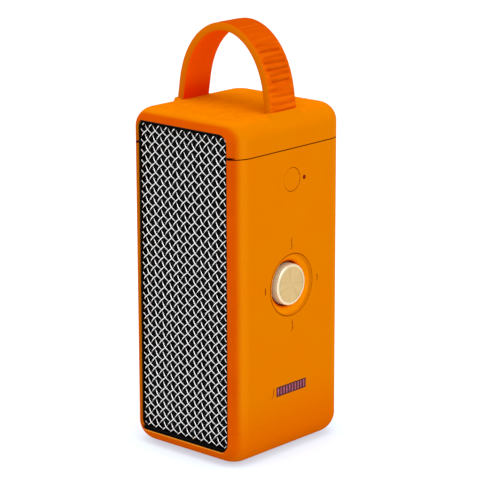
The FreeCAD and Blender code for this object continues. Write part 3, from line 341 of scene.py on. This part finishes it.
def knob_finish():
    """Pale brass, turned on a lathe: fine rings about the middle of the knob, a painted sheen as a fan of
    streaks, a painted highlight on the rim, and a painted reflection on the side wall, which is pale grey-green
    instead of brass.
    """
    made = Finish("knob_finish", Metallic=1.0, Anisotropic=0.65)
    low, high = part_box("control_knob")
    middle = (low + high) / 2
    _, across, up = made.split(made.place)
    offsets = made.maths("SUBTRACT", across, middle.y), made.maths("SUBTRACT", up, middle.z)
    radius = made.radius(*offsets)
    # the fan is a painted sheen: streaks by the angle round the knob
    rings, fan = [made.add("ShaderNodeTexNoise", {"noise_dimensions": "1D"}, W=along, Scale=scale,
                           Detail=detail).outputs["Fac"]
                  for along, scale, detail in ((radius, 1 / (0.28 * MM), 2.0),
                                               (made.maths("ARCTAN2", *offsets), 2.2, 3.0))]
    shade = made.maths("ADD", made.product(rings, 0.4), made.product(fan, 0.6))
    face = made.mix(made.remap(shade, 0.3, 0.7), (0.52, 0.37, 0.157), (0.665, 0.495, 0.248))
    # painted highlight: the rim is painted a brighter brass
    face = made.mix(made.remap(radius, *KNOB_RIM, smooth=True), face, (0.80, 0.69, 0.50))
    on_face = made.remap(made.split(made.space.outputs["Normal"])[0], 0.03, 0.4)
    # painted reflection: the side wall is painted pale grey-green, with little metal, instead of brass
    made.colour(made.mix(on_face, (0.58, 0.74, 0.62), face))
    made.feed(made.shader.inputs["Metallic"], made.remap(on_face, 0.0, 1.0, 0.1, 1.0))
    made.roughness(rings, 0.24, 0.34)
    made.normal(made.bump(rings, 0.006 * MM))
    radial = made.add("ShaderNodeTangent", {"direction_type": "RADIAL", "axis": "X"})
    made.feed(made.shader.inputs["Tangent"], radial.outputs[0])
    return made.material


def board_finish():
    """Green laminate with a fine glass weave and pale tracks."""
    made = Finish("board_finish", Roughness=0.35)
    tracks = made.add("ShaderNodeTexBrick", Vector=made.place, Scale=1 / (9 * MM), Mortar_Size=0.03)
    base = made.mix(made.noise(2 * MM), (0.012, 0.10, 0.035), (0.02, 0.15, 0.05))
    made.colour(made.mix(tracks.outputs["Fac"], base, (0.05, 0.26, 0.09)))
    made.normal(made.bump(made.noise(0.5 * MM), 0.01 * MM))
    return made.material


FINISHES = {
    "casing": casing_finish(),
    "strap": strap_finish(),
    "rubber": moulded("rubber_finish", (0.02, 0.02, 0.021), (0.032, 0.032, 0.034), 6 * MM, 0.5 * MM, 0.03 * MM,
                      (0.6, 0.8)),
    "steel": moulded("steel_finish", (0.52, 0.52, 0.53), (0.62, 0.62, 0.63), 2 * MM, 0.2 * MM, 0.004 * MM,
                     (0.25, 0.4), Metallic=1.0),
    "grille_wire": wire_finish(),
    "black_trim": moulded("trim_finish", (0.002, 0.002, 0.002), (0.004, 0.004, 0.004), 8 * MM, 0.3 * MM,
                          0.01 * MM, (0.45, 0.6), Specular_IOR_Level=0.1),
    "grille_cloth": cloth_finish(),
    "basket": moulded("basket_finish", (0.02, 0.02, 0.02), (0.035, 0.035, 0.036), 5 * MM, 0.3 * MM, 0.01 * MM,
                      (0.4, 0.55)),
    "magnet": moulded("magnet_finish", (0.045, 0.045, 0.047), (0.07, 0.07, 0.072), 4 * MM, 0.6 * MM, 0.04 * MM,
                      (0.6, 0.75)),
    "cone": moulded("cone_finish", (0.02, 0.02, 0.021), (0.04, 0.038, 0.036), 3 * MM, 0.4 * MM, 0.03 * MM,
                    (0.6, 0.8)),
    "surround": moulded("surround_finish", (0.012, 0.012, 0.012), (0.02, 0.02, 0.02), 5 * MM, 0.4 * MM,
                        0.01 * MM, (0.45, 0.6)),
    "radiator_plate": moulded("plate_finish", (0.03, 0.03, 0.031), (0.045, 0.045, 0.047), 6 * MM, 0.4 * MM,
                              0.02 * MM, (0.5, 0.65)),
    "knob_metal": knob_finish(),
    "switch_metal": moulded("switch_metal_finish", (0.5, 0.42, 0.26), (0.6, 0.5, 0.32), 2 * MM, 0.2 * MM,
                            0.004 * MM, (0.3, 0.42), Metallic=1.0),
    "switch_case": moulded("switch_case_finish", (0.02, 0.02, 0.02), (0.03, 0.03, 0.031), 3 * MM, 0.3 * MM,
                           0.01 * MM, (0.5, 0.6)),
    "lamp": moulded("lamp_finish", (0.15, 0.004, 0.001), (0.20, 0.008, 0.001), 0.8 * MM, 0.4 * MM, 0.01 * MM,
                    (0.3, 0.4), Specular_IOR_Level=0.02),
    "gauge_dark": moulded("gauge_finish", (0.045, 0.003, 0.006), (0.065, 0.005, 0.010), 3 * MM, 0.4 * MM,
                          0.005 * MM, (0.3, 0.4), Specular_IOR_Level=0.12),
    "gauge_light": moulded("gauge_bar_finish", (0.26, 0.05, 0.095), (0.40, 0.11, 0.18), 1.2 * MM, 0.4 * MM,
                           0.006 * MM, (0.3, 0.4), Specular_IOR_Level=0.12),
    "clear_guide": moulded("guide_finish", (0.75, 0.76, 0.78), (0.82, 0.83, 0.84), 4 * MM, 0.5 * MM, 0.004 * MM,
                           (0.08, 0.16), Transmission_Weight=0.85),
    "mark": moulded("mark_finish", (0.10, 0.003, 0.0), (0.13, 0.005, 0.0), 1 * MM, 0.2 * MM, 0.01 * MM,
                    (0.6, 0.8), Specular_IOR_Level=0.02),
    "circuit_board": board_finish(),
    "chips": moulded("chip_finish", (0.018, 0.018, 0.018), (0.03, 0.03, 0.031), 2 * MM, 0.15 * MM, 0.006 * MM,
                     (0.4, 0.55)),
    "inner_plastic": moulded("inner_finish", (0.05, 0.05, 0.052), (0.07, 0.07, 0.073), 8 * MM, 0.5 * MM,
                             0.02 * MM, (0.5, 0.65)),
    "cells": moulded("cell_finish", (0.03, 0.09, 0.24), (0.045, 0.12, 0.30), 5 * MM, 0.4 * MM, 0.008 * MM,
                     (0.22, 0.35)),
}

for node in frame["nodes"].values():
    for holder in node.material_slots:
        holder.material = FINISHES[holder.material.name]


# --- pieces built here ---

def add_piece(name, points, faces, slot, body=ENCLOSURE, stands_for=()):
    mesh = bpy.data.meshes.new(name)
    mesh.from_pydata(points, [], faces)
    mesh.materials.append(FINISHES[slot])
    mesh.shade_smooth()
    made = bpy.data.objects.new(name, mesh)
    scene.collection.objects.link(made)
    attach(made, body)
    if stands_for:
        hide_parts(*stands_for)
    return made


def ring_faces(rings, around):
    """The walls between one ring of points and the next, and a lid on each end."""
    faces = [tuple(range(around))[::-1], tuple(range((rings - 1) * around, rings * around))]
    for ring in range(rings - 1):
        low = ring * around
        for corner in range(around):
            after = (corner + 1) % around
            faces.append((low + corner, low + after, low + around + after, low + around + corner))
    return faces


# the woven wire of the grilles: two families of crimped wires at 45 degrees, over one and under one
WIRE_RADIUS = 0.26 * MM
WIRE_PITCH = 3.46 * MM
WIRE_SIDES = 8
STEPS_PER_PITCH = 6
CRIMP = 0.41 * MM        # how far a wire's middle rises or falls from the middle of the mesh
MESH_PROUD = 0.95 * MM   # the middle of the panel stands this far in front of its edge
ROLL_WIDE = 1.5 * MM     # the panel's edge rolls back over this width
PANEL_CORNER = 3.4 * MM
SHORTEST_WIRE = 4        # points: a wire with fewer is left out


def edge_distance(across, up, half_wide, half_tall):
    """How far a point lies inside the panel's rounded outline. It is negative outside."""
    out_across = abs(across) - (half_wide - PANEL_CORNER)
    out_up = abs(up) - (half_tall - PANEL_CORNER)
    beyond = math.hypot(max(out_across, 0), max(out_up, 0))
    return PANEL_CORNER - (beyond + min(max(out_across, out_up), 0))


def roll_back(inside):
    """How far behind the middle of the panel the mesh lies, at a distance inside its edge."""
    share = min(max(inside / ROLL_WIDE, 0), 1)
    return 1 - math.sqrt(1 - (1 - share) ** 2)


def weave(name, stands_for, facing):
    """One grille's wires, as tubes. It faces the front with facing 1, and the back with -1."""
    low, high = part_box(stands_for)
    half_wide, half_tall = (high.x - low.x) / 2, (high.z - low.z) / 2
    middle_up = (high.z + low.z) / 2
    back = min(abs(low.y), abs(high.y)) + CRIMP + WIRE_RADIUS
    front = back + MESH_PROUD
    slope = math.sqrt(0.5)
    reach = int((half_wide + half_tall) * slope / WIRE_PITCH) + 1
    step = WIRE_PITCH / STEPS_PER_PITCH
    points, faces = [], []
    for lean in (1, -1):
        along, beside = (slope, lean * slope), (-lean * slope, slope)
        for wire in range(-reach, reach + 1):
            offset = wire * WIRE_PITCH
            run = []
            for count in range(-2 * reach * STEPS_PER_PITCH, 2 * reach * STEPS_PER_PITCH + 1):
                place = count * step
                across = place * along[0] + offset * beside[0]
                up = place * along[1] + offset * beside[1]
                inside = edge_distance(across, up, half_wide, half_tall)
                if inside < WIRE_RADIUS:
                    continue
                sign = lean if wire % 2 == 0 else -lean
                rise = sign * CRIMP * math.cos(math.pi * place / WIRE_PITCH)
                depth = front - (front - back) * roll_back(inside - WIRE_RADIUS) + rise
                run.append((across, depth, up))
            if len(run) < SHORTEST_WIRE:
                continue
            start = len(points)
            for index, (across, depth, up) in enumerate(run):
                before, after = run[max(index - 1, 0)], run[min(index + 1, len(run) - 1)]
                run_along = math.hypot(after[0] - before[0], after[2] - before[2])
                climb = math.atan2(after[1] - before[1], run_along)
                for corner in range(WIRE_SIDES):
                    angle = TAU * corner / WIRE_SIDES
                    wide, tall = WIRE_RADIUS * math.cos(angle), WIRE_RADIUS * math.sin(angle)
                    shift = -tall * math.sin(climb)
                    points.append((facing * (across + wide * beside[0] + shift * along[0]),
                                   -facing * (depth + tall * math.cos(climb)),
                                   middle_up + up + wide * beside[1] + shift * along[1]))
            faces += [tuple(start + corner for corner in face) for face in ring_faces(len(run), WIRE_SIDES)]
    add_piece(name, points, faces, "grille_wire", stands_for=[stands_for])


weave("front_weave", "front_grille", 1)
weave("rear_weave", "rear_grille", -1)


# the acoustic cloth behind each grille, stretched over the frame
CLOTH_STEP = 2.2 * MM
CLOTH_SLACK = 0.04 * MM     # how far its surface strays from flat


def cloth(name, stands_for, seed):
    """A closed sheet of even squares, slightly slack between its edges."""
    low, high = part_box(stands_for)
    wide, tall = high.x - low.x, high.z - low.z
    columns, rows = int(wide / CLOTH_STEP), int(tall / CLOTH_STEP)
    draw = random.Random(seed)
    slack = [[draw.uniform(-1, 1) * CLOTH_SLACK for _ in range(rows + 1)] for _ in range(columns + 1)]
    points = []
    for side in (0, 1):
        for column in range(columns + 1):
            for row in range(rows + 1):
                edge = column in (0, columns) or row in (0, rows)
                depth = (low.y if side == 0 else high.y) + (0 if edge else slack[column][row])
                points.append((low.x + wide * column / columns, depth, low.z + tall * row / rows))
    layer = (columns + 1) * (rows + 1)

    def at(column, row):
        return column * (rows + 1) + row

    faces = []
    for column in range(columns):
        for row in range(rows):
            square = (at(column, row), at(column + 1, row), at(column + 1, row + 1), at(column, row + 1))
            faces.append(square)
            faces.append(tuple(corner + layer for corner in reversed(square)))
    rim = [at(column, 0) for column in range(columns)] + [at(columns, row) for row in range(rows)]
    rim += [at(column, rows) for column in range(columns, 0, -1)] + [at(0, row) for row in range(rows, 0, -1)]
    for index, corner in enumerate(rim):
        after = rim[(index + 1) % len(rim)]
        faces.append((after, corner, corner + layer, after + layer))
    made = add_piece(name, points, faces, "grille_cloth", stands_for=[stands_for])


cloth("front_cloth", "front_grille_cloth", 3)
cloth("rear_cloth", "rear_grille_cloth", 4)


# the carrying strap: a moulded band, arched, with creased outer faces and feet that spread into the cap
STRAP_THICK = 3.8 * MM
STRAP_SPRING = 160 * MM      # the height where the band starts to arch
STRAP_SPAN = 28.6 * MM       # half the arch's width, before its feet spread
STRAP_FLARE = 1.0 * MM       # how far each foot spreads
FLARE_TALL = 10 * MM
FLARE_POWER = 1.6
ARCH_ACROSS, ARCH_UP = 1.95, 2.3    # how square the arch is: 2 is an ellipse
ARCH_POINTS = 2000
STRAP_EDGE = 0.6 * MM        # radius of the band's edges
STRAP_STEP = 0.3 * MM
FACE_POINTS = 26             # across the outer face
INNER_POINTS = 8             # across the inner face
CORNER_TURN = 30             # degrees between the points of a rounded edge
CREASE_RUNS = ((2.9, 13, 3.2, 0.5), (16.9, 36.5, 2.7, 0.9), (56, 68, 4.4, 0.3))    # mm: from, to, gap, depth
CREASE_WIDE = 0.42 * MM
CREASE_REACH = 3.5           # a crease ends this many times its width away
RIDGE_TALL, RIDGE_AWAY, RIDGE_SPREAD = 0.45, 1.9, 1.2    # the ridge beside each crease
SMOOTH_FOOT = -1.0           # stands for the place along the band where a ring has no creases


def smooth(value):
    value = min(max(value, 0), 1)
    return value * value * (3 - 2 * value)


def arch_outline(crown):
    """The band's outer line from the foot at +X to the foot at -X, as close, even points (x, z)."""
    dense = []
    for count in range(ARCH_POINTS + 1):
        turn = math.pi * count / ARCH_POINTS
        across, up = math.cos(turn), max(math.sin(turn), 0)
        high = STRAP_SPRING + (crown - STRAP_SPRING) * up ** (2 / ARCH_UP)
        out = STRAP_SPAN * abs(across) ** (2 / ARCH_ACROSS)
        out += STRAP_FLARE * max((STRAP_SPRING + FLARE_TALL - high) / FLARE_TALL, 0) ** FLARE_POWER
        dense.append((math.copysign(out, across), high))
    even, gone = [dense[0]], 0.0
    for before, after in zip(dense, dense[1:]):
        gone += math.dist(before, after)
        if gone >= STRAP_STEP:
            even.append(after)
            gone = 0.0
    return even


def creases(length, seed):
    """The creases: distance along the band, depth, how far in from each edge it starts, and its slant."""
    draw = random.Random(seed)
    found = []
    for low, high, gap, deep in CREASE_RUNS:
        place = low
        while place < high:
            for at in (place, length / MM - place):
                found.append((at * MM, deep * draw.uniform(0.6, 1.15) * MM, draw.uniform(0.8, 3.0) * MM,
                              draw.uniform(0.5, 1.6) * MM, draw.uniform(-0.03, 0.03)))
            place += gap * draw.uniform(0.85, 1.15)
    return found


def crease_depth(found, along, across, half_wide):
    """How far the creases take the outer face in, at one point of the band."""
    deep = 0.0
    for place, depth, near, far, skew in found:
        off = (along - place - skew * across) / CREASE_WIDE
        if abs(off) < CREASE_REACH:
            fade = smooth((across + half_wide - near) / MM) * smooth((half_wide - far - across) / MM)
            ridge = RIDGE_TALL * math.exp(-(off - RIDGE_AWAY) ** 2 / RIDGE_SPREAD)
            deep += depth * fade * (math.exp(-off * off / 2) - ridge)
    return deep


def strap_section(half_wide, half_thick):
    """The points round the band, each as (across, out, whether it is on the outer face)."""
    flat, middle = half_wide - STRAP_EDGE, half_thick - STRAP_EDGE
    section = [(-flat + 2 * flat * count / FACE_POINTS, half_thick, True) for count in range(FACE_POINTS + 1)]
    corners = ((flat, middle), 90), ((flat, -middle), 0), ((-flat, -middle), -90), ((-flat, middle), 180)
    for centre, start in corners:
        for count in range(1 if start in (90, 180) else 0, 90 // CORNER_TURN + 1):
            angle = math.radians(start - CORNER_TURN * count)
            section.append((centre[0] + STRAP_EDGE * math.cos(angle), centre[1] + STRAP_EDGE * math.sin(angle),
                            False))
        if start == 0:
            for count in range(1, INNER_POINTS):
                section.append((flat - 2 * flat * count / INNER_POINTS, -half_thick, False))
    return section[:-1]      # the last point is the first one again


def strap():
    low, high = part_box("carry_strap")
    half_wide, half_thick = high.y, STRAP_THICK / 2
    outline = arch_outline(high.z)
    length = sum(math.dist(a, b) for a, b in zip(outline, outline[1:]))
    found = creases(length, 11)
    section = strap_section(half_wide, half_thick)
    foot_x = outline[0][0] - half_thick
    foot_heights = (low.z, low.z + 3 * MM, STRAP_SPRING - 3 * MM, STRAP_SPRING - 1.5 * MM)
    rings = [((foot_x, height), (1, 0), SMOOTH_FOOT) for height in foot_heights]
    along = 0.0
    for index, place in enumerate(outline):
        before, after = outline[max(index - 1, 0)], outline[min(index + 1, len(outline) - 1)]
        if index:
            along += math.dist(outline[index - 1], place)
        run = Vector((after[0] - before[0], after[1] - before[1])).normalized()
        normal = (run.y, -run.x)
        centre = (place[0] - normal[0] * half_thick, place[1] - normal[1] * half_thick)
        rings.append((centre, normal, along))
    rings += [((-foot_x, height), (-1, 0), SMOOTH_FOOT) for height in reversed(foot_heights)]
    points = []
    for centre, normal, along in rings:
        for across, out, is_face in section:
            if is_face and along != SMOOTH_FOOT:
                out -= crease_depth(found, along, across, half_wide)
            points.append((centre[0] + normal[0] * out, across, centre[1] + normal[1] * out))
    add_piece("strap_band", points, ring_faces(len(rings), len(section)), "strap", stands_for=["carry_strap"])


strap()


# the shoulders of the top cap, which rise smoothly round each foot of the strap
CAP_TOP = 162 * MM
CAP_EDGE = 9 * MM            # radius of the cap's top edge, which starts at CAP_FLAT
CAP_FLAT = 25 * MM
SHOULDER_RISE = 0.75 * MM    # above the top of the cap
SHOULDER_LOW = math.radians(64.7)    # how far down the rounded edge it ends
SHOULDER_HALF = 9.45 * MM    # half its width, before it fades
SHOULDER_FADE = 2.3 * MM
SHOULDER_FALL = 2.2          # how quickly it fades
SHOULDER_START, SHOULDER_BLEND = 0.6 * MM, 1.4 * MM    # along the cap, from CAP_FLAT
SHOULDER_SINK = 0.12 * MM    # the border of the patch lies this far under the cap's surface
SHOULDER_STEP = 0.4 * MM
SHOULDER_COLUMNS, SHOULDER_ROWS = 31, 61


def shoulder_height(along, across):
    """How far the shoulder stands off the cap: along the cap's rounded edge, and across it."""
    turn = max(along, 0) / CAP_EDGE
    rise = 0.0
    if turn < SHOULDER_LOW:
        reach = min((CAP_EDGE + SHOULDER_RISE) / math.cos(turn), CAP_EDGE / math.cos(SHOULDER_LOW - turn))
        rise = reach - CAP_EDGE
    rise *= smooth((along - SHOULDER_START) / SHOULDER_BLEND)
    fade = min(max((abs(across) - SHOULDER_HALF) / SHOULDER_FADE, 0), 1)
    return rise * (1 - fade) ** SHOULDER_FALL - SHOULDER_SINK


def shoulder(name, side):
    """A skin over the raised part of the cap beside one foot. It starts 1 mm inside the rounded edge."""
    points = []
    for column in range(SHOULDER_COLUMNS):
        along = -MM + column * SHOULDER_STEP
        turn = max(along, 0) / CAP_EDGE
        for row in range(SHOULDER_ROWS):
            across = (row - SHOULDER_ROWS // 2) * SHOULDER_STEP
            reach = CAP_EDGE + shoulder_height(along, across)
            points.append((side * (CAP_FLAT + min(along, 0) + reach * math.sin(turn)), across,
                           CAP_TOP - CAP_EDGE + reach * math.cos(turn)))
    faces = []
    for column in range(SHOULDER_COLUMNS - 1):
        for row in range(SHOULDER_ROWS - 1):
            low = column * SHOULDER_ROWS + row
            face = (low, low + SHOULDER_ROWS, low + SHOULDER_ROWS + 1, low + 1)
            faces.append(face if side > 0 else face[::-1])
    add_piece(name, points, faces, "casing")


shoulder("right_shoulder", 1)
shoulder("left_shoulder", -1)


# --- floor, light and camera ---

FLOOR_REACH = 6.0
# the painted shadow on the floor fades over this distance
FLOOR_SHADOW_NEAR_TO_FAR = 1 * MM, 15 * MM    # away from the object's box
CAMERA_PLACE = 0.7025, -0.7726, 0.3719
CAMERA_AIM = 0.0011, 0.0010, 0.0968
CAMERA_ROLL = math.radians(-0.18)
CAMERA_SENSOR, CAMERA_LENS = 36, 172.3
WORLD_STRENGTH = 1.02


def floor():
    """A pale floor that glows a little, with a painted shadow: a cooler grey close to the object."""
    made = Finish("floor_finish", Specular_IOR_Level=0.0, Roughness=1.0, Emission_Color=(0.68, 0.86, 1, 1),
                  Emission_Strength=0.57)
    wide, across, _ = made.split(made.place)
    away = made.maths("MAXIMUM", *[made.maths("SUBTRACT", made.absolute(axis), reach)
                                   for axis, reach in ((wide, cad_box[1].x), (across, cad_box[1].y))])
    far = made.mix(made.noise(0.4), (0.595, 0.50, 0.42), (0.605, 0.51, 0.43))
    # painted shadow: a cooler, darker grey close to the object's box
    made.colour(made.mix(made.remap(away, *FLOOR_SHADOW_NEAR_TO_FAR, smooth=True), (0.47, 0.485, 0.51), far))
    mesh = bpy.data.meshes.new("floor")
    corners = ((-1, -1), (1, -1), (1, 1), (-1, 1))
    mesh.from_pydata([(FLOOR_REACH * x, FLOOR_REACH * y, 0) for x, y in corners], [], [(0, 1, 2, 3)])
    mesh.materials.append(made.material)
    placed = bpy.data.objects.new("floor", mesh)
    scene.collection.objects.link(placed)


def lamp(name, azimuth, elevation, distance, size, power):
    """A round white lamp aimed at the middle of the object. Angles are in degrees."""
    light = bpy.data.lights.new(name, "AREA")
    light.shape, light.size, light.energy = "DISK", size, power
    placed = bpy.data.objects.new(name, light)
    scene.collection.objects.link(placed)
    turn, lift = math.radians(azimuth), math.radians(elevation)
    back = Vector((math.sin(turn) * math.cos(lift), -math.cos(turn) * math.cos(lift), math.sin(lift)))
    middle = (cad_box[0] + cad_box[1]) / 2
    placed.location = middle + back * distance
    placed.rotation_euler = back.to_track_quat("Z", "Y").to_euler()


def camera():
    data = bpy.data.cameras.new("camera")
    data.sensor_width, data.lens = CAMERA_SENSOR, CAMERA_LENS
    placed = bpy.data.objects.new("camera", data)
    scene.collection.objects.link(placed)
    placed.location = CAMERA_PLACE
    look = (placed.location - Vector(CAMERA_AIM)).to_track_quat("Z", "Y").to_euler()
    look.rotate_axis("Z", CAMERA_ROLL)
    placed.rotation_euler = look
    scene.camera = placed


def world():
    sky = bpy.data.worlds.new("studio")
    sky.use_nodes = True
    background = sky.node_tree.nodes["Background"]
    background.inputs["Color"].default_value = (1, 1, 1, 1)
    background.inputs["Strength"].default_value = WORLD_STRENGTH
    scene.world = sky


floor()
lamp("top_light", 40, 78, 1.5, 1.2, 9.6)
lamp("side_light", 85, 28, 1.3, 0.8, 2.8)
lamp("left_light", -100, 14, 1.3, 0.8, 2.5)
camera()
world()
scene.view_settings.view_transform = "Standard"
